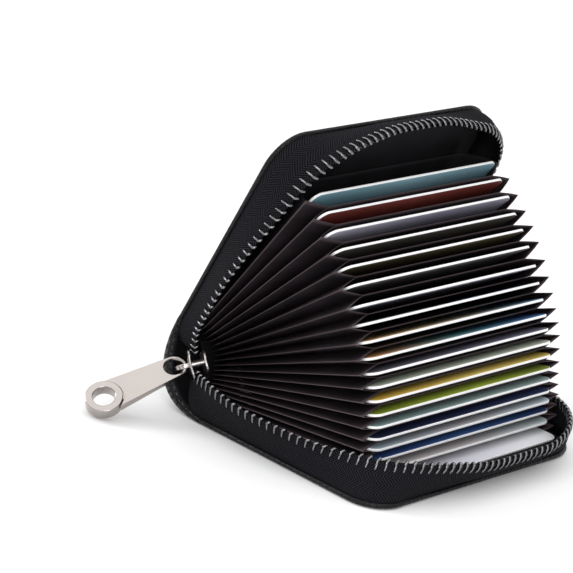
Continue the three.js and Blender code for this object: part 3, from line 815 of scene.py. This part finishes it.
def pocket_sheet(name, j, divider, mouth_divider, mat=None, back=None):
    """One sheet of card j's pocket; divider is (angle, offset) of its flat middle. Back, the other sheet's, closes the pocket behind the card."""
    g = Grid()
    o_r = OFFSET[j]
    th_d, o_d = divider
    top, bottom = [], []
    if back:
        ra, rb = [], []
        for y, f, c, end in sheet_width(j):
            th_r = ANGLE[j] + (far_lift(j) if end > 0 else 0.0)
            th, o = back[0] + (th_r - back[0]) * f, back[1] + (o_r - back[1]) * f
            ra.append(g.add(leaf(th, 0.50, y, o), (-1.2, y), 0.0))
            rb.append(g.add(leaf(th, 0.64, y, o), (-1.2, y), 0.0))
        top.append(ra)
        bottom.append(rb)
    for q, share in enumerate(SHARES):
        ra, rb = [], []
        for y, f, c, end in sheet_width(j):
            th_r = ANGLE[j] + (far_lift(j) if end > 0 else 0.0)
            m_r = min(CARD_MOUTH[j], 63.5) - (0.9 if end > 0 else 2.2)
            th, o = th_d + (th_r - th_d) * f, o_d + (o_r - o_d) * f
            m = mouth_divider + (m_r - mouth_divider) * f
            s = 0.8 + (m - 0.8) * share
            ripple = 0.05 * math.sin(0.21 * s + 0.5 * j + 3 * f) * (1 - abs(2 * f - 1)) * share
            # painted highlight along the sheet's mouth edge
            if q == len(SHARES) - 1:
                c = max(c, 0.45)
            ra.append(g.add(leaf(th, s, y, o + ripple + CLOTH / 2), (s, y), c))
            rb.append(g.add(leaf(th, s, y, o + ripple - CLOTH / 2), (s, y), c))
        top.append(ra)
        bottom.append(rb)
    g.skin(top)
    g.skin(bottom)
    n = len(top[0])
    for a, b in zip(range(len(top)), range(1, len(top))):
        g.face(top[a][0], top[b][0], bottom[b][0], bottom[a][0])
        g.face(top[a][n - 1], top[b][n - 1], bottom[b][n - 1], bottom[a][n - 1])
    for e in (0, len(top) - 1):
        for i in range(n - 1):
            g.face(top[e][i], top[e][i + 1], bottom[e][i + 1], bottom[e][i])
    return g.object(name, [mat or BELLOWS])


def fan_blend(o):
    """Bakes into its mesh the placement of a sheet whose middle lies on the divider and whose pleats lie on card j's
    leaf.
    """
    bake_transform(o)


DIVIDERS = [((ANGLE[j] + ANGLE[j + 1]) / 2, (OFFSET[j] + OFFSET[j + 1]) / 2, (min(63.5, CARD_MOUTH[j]) + min(63.5, CARD_MOUTH[j + 1])) / 2 - 2.7) for j in range(19)]
FLAT_S = 57.5
for j in range(20):
    n = "%02d" % (j + 1)
    over = under = None
    if j < 19:
        th, o_d, m = DIVIDERS[j]
        under = pocket_sheet("pocket_lower_" + n, j, (th, o_d + 0.075), m)
        fan_blend(under)
        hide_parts("pocket_panel_" + n)
    else:
        under = pocket_sheet("pocket_lower_" + n, j, (0.0, -10.95), 62.0)
        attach(under, "base_cover")
    if j > 0:
        th, o_d, m = DIVIDERS[j - 1]
        low = (DIVIDERS[j][0], DIVIDERS[j][1] + 0.15) if j < 19 else (0.0, -10.85)
        over = pocket_sheet("pocket_upper_" + n, j, (th, o_d - 0.075), m, back=low)
        fan_blend(over)
    else:
        # painted shade: pocket 1's upper sheet takes the darker lining cloth in place of the bellows cloth, so it reads
        # as the dark gap under the top cover
        over = pocket_sheet("pocket_upper_" + n, j, (PHI - 0.8, 10.6), CARD_MOUTH[j] - 6.0, LINING)
        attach(over, "pocket_01")
        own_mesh(over)
    if j == 0:
        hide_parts("bellows_gusset")

# ---------------------------------------------------------------- cards
# colours of each card along one side, as plain printed fields; on card 20 the grey towards its near end is painted
# shade
CARD_FACE = [
    ([(0.0, (0.12, 0.25, 0.30)), (0.5, (0.22, 0.38, 0.45)), (1.0, (0.17, 0.31, 0.37))], 0),
    ([(0.0, (0.12, 0.022, 0.017)), (0.5, (0.17, 0.034, 0.026)), (1.0, (0.12, 0.022, 0.019))], 0),
    ([(0.0, (0.36, 0.36, 0.44)), (0.6, (0.26, 0.25, 0.33)), (1.0, (0.32, 0.31, 0.39))], 0),
    ([(0.0, (0.05, 0.045, 0.04)), (1.0, (0.08, 0.07, 0.06))], 0),
    ([(0.0, (0.05, 0.04, 0.02)), (1.0, (0.09, 0.075, 0.04))], 0),
    ([(0.0, (0.10, 0.09, 0.09)), (1.0, (0.16, 0.15, 0.15))], 0),
    ([(0.0, (0.42, 0.42, 0.52)), (0.5, (0.55, 0.55, 0.66)), (1.0, (0.50, 0.50, 0.60))], 0),
    ([(0.0, (0.62, 0.68, 0.74)), (1.0, (0.20, 0.36, 0.46))], 0),
    ([(0.0, (0.62, 0.36, 0.12)), (0.5, (0.5, 0.42, 0.3)), (1.0, (0.10, 0.25, 0.42))], 0),
    ([(0.0, (0.55, 0.24, 0.06)), (0.5, (0.12, 0.30, 0.34)), (1.0, (0.06, 0.15, 0.40))], 0),
    ([(0.0, (0.10, 0.10, 0.13)), (1.0, (0.20, 0.19, 0.25))], 0),
    ([(0.0, (0.40, 0.45, 0.36)), (1.0, (0.52, 0.56, 0.46))], 0),
    ([(0.0, (0.66, 0.42, 0.05)), (0.6, (0.80, 0.60, 0.16)), (1.0, (0.60, 0.45, 0.10))], 0),
    ([(0.0, (0.20, 0.28, 0.03)), (0.6, (0.36, 0.46, 0.06)), (1.0, (0.22, 0.28, 0.05))], 0),
    ([(0.0, (0.24, 0.34, 0.36)), (1.0, (0.34, 0.44, 0.46))], 0),
    ([(0.0, (0.013, 0.018, 0.05)), (0.5, (0.022, 0.030, 0.080)), (1.0, (0.034, 0.046, 0.12))], 0),
    ([(0.0, (0.30, 0.38, 0.44)), (0.5, (0.46, 0.44, 0.46)), (1.0, (0.50, 0.60, 0.66))], 0),
    ([(0.0, (0.025, 0.045, 0.16)), (0.5, (0.045, 0.11, 0.29)), (1.0, (0.024, 0.045, 0.14))], 0),
    ([(0.0, (0.40, 0.37, 0.38)), (0.5, (0.46, 0.42, 0.42)), (1.0, (0.46, 0.54, 0.56))], 0),
    # card 20: white, with painted shade greying it towards its near end
    ([(0.0, (0.42, 0.42, 0.50)), (0.6, (0.72, 0.72, 0.78)), (1.0, (0.93, 0.93, 0.95))], 0),
]


def card(j):
    g = Grid()
    m, r, y0, y1 = CARD_MOUTH[j], 3.18, -42.8 + CARD_SHIFT[j], 42.8 + CARD_SHIFT[j]
    x0 = m - 53.98

    def outline(d):
        pts = []
        rr = r - d
        for cx, cy, a0 in ((m - r, y0 + r, -90), (m - r, y1 - r, 0), (x0 + r, y1 - r, 90), (x0 + r, y0 + r, 180)):
            for i in range(11):
                a = math.radians(a0 + 90 * i / 10)
                pts.append((cx + rr * math.cos(a), cy + rr * math.sin(a)))
        return pts

    rows = []
    for d, h in ((0.9, -0.38), (0.16, -0.38), (0.05, -0.34), (0.0, -0.24), (0.0, 0.24), (0.05, 0.34), (0.16, 0.38), (0.9, 0.38)):
        rows.append([g.add(leaf(ANGLE[j], x, y, OFFSET[j] + h), (x - x0, y - y0)) for x, y in outline(d)])
    for k, (a, b) in enumerate(zip(rows, rows[1:])):
        for i in range(len(a)):
            q = (i + 1) % len(a)
            g.face(a[i], a[q], b[q], b[i], mat=0 if k in (0, len(rows) - 2) else 1)
    g.face(*rows[0])
    g.face(*reversed(rows[-1]))
    stops, along = CARD_FACE[j]
    o = g.object("card_%02d_printed" % (j + 1), [card_material(j, stops, along), EDGE])
    sharp_by_angle(o, 50)
    return o


for j in range(20):
    o = card(j)
    n = "card_%02d" % (j + 1)
    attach(o, n)
    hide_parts(n)

# ---------------------------------------------------------------- slider and pull
def unit(v):
    v = np.array(v, float)
    return v / np.linalg.norm(v)


a40 = math.radians(40)
SIDE = np.array([-math.sin(a40), -math.cos(a40), 0])
LONG = np.array([0.683, -0.574, 0.453])
LONG = unit(LONG - SIDE * (LONG @ SIDE))
ROLL = math.radians(19)
OUT = SIDE * math.cos(ROLL) - unit(np.cross(SIDE, LONG)) * math.sin(ROLL)
ACROSS = unit(np.cross(OUT, LONG))
SLIDER_MID = np.array([TURN_X, -TURN_Y, 2.4]) + SIDE * (TURN_R + 0.4)
REACH = unit([-0.3157, -0.8548, -0.4119])
WIDE = np.array([0.922, -0.159, -0.352])
WIDE = unit(WIDE - REACH * (WIDE @ REACH))
FACE = np.cross(REACH, WIDE)
EYE = SLIDER_MID + SIDE * 4.0 + REACH * 2.45 + LONG * 0.5 - np.array([0, 0, 0.5])


def seat(p):
    return W(SLIDER_MID + LONG * p[0] + ACROSS * p[1] + OUT * p[2])


def pull_at(p):
    return W(EYE + REACH * p[0] + WIDE * p[1] + FACE * p[2])


def prism(name, outline, z0, z1, mats, place, thickness=None):
    """A closed prism on an outline; thickness(x, y) may scale its half height about the middle."""
    n = len(outline)
    lo, hi = [], []
    for x, y in outline:
        k = thickness(x, y) if thickness else 1.0
        mid, half = (z0 + z1) / 2, (z1 - z0) / 2 * k
        lo.append((x, y, mid - half))
        hi.append((x, y, mid + half))
    faces = [list(range(n))[::-1], list(range(n, 2 * n))] + [[i, (i + 1) % n, n + (i + 1) % n, n + i] for i in range(n)]
    return make(name, lo + hi, faces, mats, place=place, shade=False)


def circle(cx, cy, r, n, a0=0.0, a1=360.0):
    closed = abs(a1 - a0) >= 360
    return [(cx + r * math.cos(math.radians(a0 + (a1 - a0) * i / (n if closed else n - 1))), cy + r * math.sin(math.radians(a0 + (a1 - a0) * i / (n if closed else n - 1)))) for i in range(n)]


def bevelled(o, width, segments=3):
    b = o.modifiers.new("edge", "BEVEL")
    b.width = width * 1e-3
    b.segments = segments
    b.limit_method = "ANGLE"
    b.angle_limit = math.radians(32)
    b.use_clamp_overlap = True
    return apply_modifiers(o)


def combine(o, others, operation):
    for x in others:
        m = o.modifiers.new("join", "BOOLEAN")
        m.operation = operation
        m.solver = "EXACT"
        m.object = x
    apply_modifiers(o)
    for x in others:
        bpy.data.objects.remove(x)
    return o


def finish_metal(o, mat):
    o.data.materials.clear()
    o.data.materials.append(mat)
    o.data.polygons.foreach_set("material_index", [0] * len(o.data.polygons))
    o.data.polygons.foreach_set("use_smooth", [True] * len(o.data.polygons))
    sharp_by_angle(o, 38)
    return o


def shield(length, wide, tail):
    """Outline of a slider plate, wide where the rows come in, with rounded corners."""
    pts = [(-length / 2, -tail / 2 + 0.9), (-length / 2 + 0.3, -tail / 2 + 0.25), (-length / 2 + 1.0, -tail / 2)]
    pts += [(length / 2 - 2.4, -wide / 2), (length / 2 - 1.2, -wide / 2 + 0.25), (length / 2 - 0.4, -wide / 2 + 0.9), (length / 2, -wide / 2 + 2.0)]
    pts += [(length / 2 - 0.5, 0.0)]
    return pts[:-1] + [(length / 2 - 0.35, 0.0)] + [(x, -y) for x, y in reversed(pts[:-1])]


def lathe_ring(name, profile, n, mats, place, cx):
    g = Grid()
    rows = []
    for i in range(n):
        a = 2 * math.pi * i / n
        rows.append([g.add((cx + r * math.cos(a), r * math.sin(a), z)) for r, z in profile])
    rows.append(rows[0])
    g.skin(rows, wrap=True)
    return g.object(name, mats, place=place, shade=False)


def bent(o, half, dome):
    """Cuts a flat plate across its width and bows it, then sets it in the slider's seat."""
    bm = bmesh.new()
    bm.from_mesh(o.data)
    for k in range(1, 12):
        bmesh.ops.bisect_plane(bm, geom=bm.verts[:] + bm.edges[:] + bm.faces[:], plane_co=(0, half * (k / 6 - 1), 0), plane_no=(0, 1, 0))
    for v in bm.verts:
        v.co = Vector(seat((v.co.x, v.co.y, v.co.z - dome * (v.co.y / half) ** 2)))
    bm.to_mesh(o.data)
    bm.free()
    return o


# the body takes the darkened nickel copy, a painted reflection of the dark interior
body = bevelled(bent(prism("zip_slider_body", shield(9.0, 9.6, 7.2), 1.6, 2.25, [SHADED_NICKEL], tuple), 4.8, 0.55), 0.2)
slider = finish_metal(body, SHADED_NICKEL)
# the inner plate and post take the brightened nickel copy: painted light
inner_plate = bevelled(bent(prism("zip_slider_core", shield(7.0, 6.8, 5.8), -3.15, -2.6, [LIT_NICKEL], tuple), 3.4, 0.2), 0.16)
post = prism("post", [(-1.9, -0.62), (0.7, -1.0), (1.4, -0.8), (1.85, -0.35), (1.9, 0.0), (1.85, 0.35), (1.4, 0.8), (0.7, 1.0), (-1.9, 0.62)], -2.9, 1.9, [LIT_NICKEL], seat)
core = finish_metal(combine(inner_plate, [post], "UNION"), LIT_NICKEL)
hoop_path = [(4.2, 1.9), (4.2, 3.6), (4.1, 4.3), (3.75, 4.9), (3.1, 5.35), (2.2, 5.55)]
hoop_path = [(-x, z) for x, z in hoop_path] + [(0.0, 5.6)] + hoop_path[::-1]
hoop_in = [(3.3, 1.9), (3.3, 3.6), (3.2, 4.1), (2.85, 4.5), (2.2, 4.68)]
hoop_in = hoop_in + [(0.0, 4.72)] + [(-x, z) for x, z in hoop_in[::-1]]
bridge = finish_metal(bevelled(prism("zip_slider_bridge", hoop_path + hoop_in, -0.7, 0.7, [NICKEL], lambda p: seat((p[0], p[2], p[1]))), 0.24), NICKEL)
for o in (slider, core, bridge):
    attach(o, "slider")
    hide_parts("zip_slider")

PULL, EYE_OUT, EYE_IN = 23.2, 3.7, 3.1
ri, ro, hz = 3.3, 5.55, 1.8


def bar_width(x):
    return EYE_OUT + (ro - 0.2 - EYE_OUT) * max(0.0, x) / PULL


def bar_half(x):
    return 0.45 + 0.9 * (x + EYE_OUT) / (PULL + EYE_OUT)


def bar_loops():
    """Inner loop round the eye and outer loop round the bar, point by point, the outer one scooped where the ring sits."""
    scoop = ro + 0.28
    x_end = PULL - scoop * 0.42  # where the scoop cuts the sides
    for _ in range(30):
        x_end = PULL - math.sqrt(scoop ** 2 - bar_width(x_end) ** 2)
    a_end = math.atan2(bar_width(x_end), PULL - x_end)
    inner, outer = [], []
    for i in range(32):  # round the free end
        a = math.pi / 2 + math.pi * i / 32
        inner.append((EYE_IN * math.cos(a), EYE_IN * math.sin(a)))
        outer.append((EYE_OUT * math.cos(a), EYE_OUT * math.sin(a)))
    n_side, n_scoop = 8, 24
    right = []
    for i in range(n_side):
        right.append((x_end * i / n_side, -bar_width(x_end * i / n_side)))
    for i in range(n_scoop + 1):
        a = -a_end + 2 * a_end * i / n_scoop
        right.append((PULL - scoop * math.cos(a), scoop * math.sin(a)))
    for i in range(n_side - 1, 0, -1):
        right.append((x_end * i / n_side, bar_width(x_end * i / n_side)))
    for i, p in enumerate(right):
        a = -math.pi / 2 + math.pi * i / len(right)
        inner.append((EYE_IN * math.cos(a), EYE_IN * math.sin(a)))
        outer.append(p)
    return inner, outer


def bar_mesh(name, place):
    g = Grid()
    inner, outer = bar_loops()
    sheets = []
    for sign in (1, -1):
        rows = []
        for k in range(7):
            f = k / 6
            rows.append([g.add((xi + (xo - xi) * f, yi + (yo - yi) * f, sign * bar_half(xi + (xo - xi) * f))) for (xi, yi), (xo, yo) in zip(inner, outer)])
        g.skin(rows, wrap=True)
        sheets.append(rows)
    for k in (0, 6):
        g.skin([sheets[0][k], sheets[1][k]], wrap=True)
    return g.object(name, [NICKEL], place=place, shade=False)


bar = bevelled(bar_mesh("pull_tab_ring", pull_at), 0.18, 3)
neck = prism("neck", [(PULL - 8.0, -3.2), (PULL - 4.4, -3.2), (PULL - 4.4, 3.2), (PULL - 8.0, 3.2)], -0.8, 0.8, [NICKEL], pull_at)
prof = []
for cx, cy, a0, rad in ((ro - 0.3, hz - 0.3, 90, 0.3), (ro - 0.3, -hz + 0.3, 0, 0.3), (ri + 0.4, -hz + 0.4, -90, 0.4), (ri + 0.4, hz - 0.4, -180, 0.4)):
    for q in range(6):
        an = math.radians(a0 - 90 * q / 5)
        prof.append((cx + rad * math.cos(an), cy + rad * math.sin(an)))
ring = lathe_ring("ring", prof, 96, [NICKEL], pull_at, PULL)
pull = finish_metal(combine(bar, [neck, ring], "UNION"), NICKEL)
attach(pull, "pull")
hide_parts("pull_tab")

# ---------------------------------------------------------------- stage, light and camera
def area(name, loc, target, size, power, size_y=None):
    d = bpy.data.lights.new(name, "AREA")
    d.energy = power
    d.shape = "RECTANGLE"
    d.size, d.size_y = size, size_y or size
    o = bpy.data.objects.new(name, d)
    bpy.context.scene.collection.objects.link(o)
    o.location = loc
    o.rotation_mode = "QUATERNION"
    o.rotation_quaternion = (Vector(target) - Vector(loc)).to_track_quat("-Z", "Y")
    return o


fm, ft, fb = material("studio_floor")
tcf = ft.nodes.new("ShaderNodeTexCoord")
nf = noise(ft, tcf.outputs["Object"], 40, 3)
ft.links.new(ramp(ft, nf.outputs["Fac"], [(0.3, (0.89, 0.89, 0.893)), (0.7, (0.91, 0.91, 0.912))]), fb.inputs["Base Color"])
fb.inputs["Roughness"].default_value = 0.7
fb.inputs["Specular IOR Level"].default_value = 0.2
bpy.ops.mesh.primitive_plane_add(size=6, location=(0, 0, -0.0002))
floor = bpy.context.object
floor.name = "studio_floor"
floor.data.materials.append(fm)

world = bpy.data.worlds.new("studio")
bpy.context.scene.world = world
world.use_nodes = True
world.node_tree.nodes["Background"].inputs[0].default_value = (1.0, 1.0, 1.0, 1)
world.node_tree.nodes["Background"].inputs[1].default_value = 0.6

area("overhead", (-0.1, 0.1, 1.3), (-0.1, 0.1, 0), 2.4, 18.0)
area("front", (0.75, -0.75, 0.55), (0, 0, 0.04), 0.5, 4.0)
area("side", (-0.75, -0.45, 0.45), (0, 0, 0.04), 0.35, 3.0)

cam = bpy.data.cameras.new("camera")
cam.sensor_width = 36.0
cam.lens = 3101.12 / 573 * 36.0
cam.clip_start, cam.clip_end = 0.05, 20
camera = bpy.data.objects.new("camera", cam)
bpy.context.scene.collection.objects.link(camera)
right = Vector((0.735774107, 0.653898814, 0.176218059))
down = Vector((0.348106338, -0.141973917, -0.926641994))
ahead = Vector((-0.580911733, 0.743141808, -0.332087054))
t_cam = (5.874562556, 18.957616928, 946.029371381)
eye_fit = -(right * t_cam[0] + down * t_cam[1] + ahead * t_cam[2])
rot = Matrix((right, -down, -ahead)).transposed()
camera.matrix_world = Matrix.Translation(W(eye_fit)) @ rot.to_4x4()
bpy.context.scene.camera = camera

bpy.context.scene.view_settings.view_transform = "Standard"

bpy.context.view_layer.update()
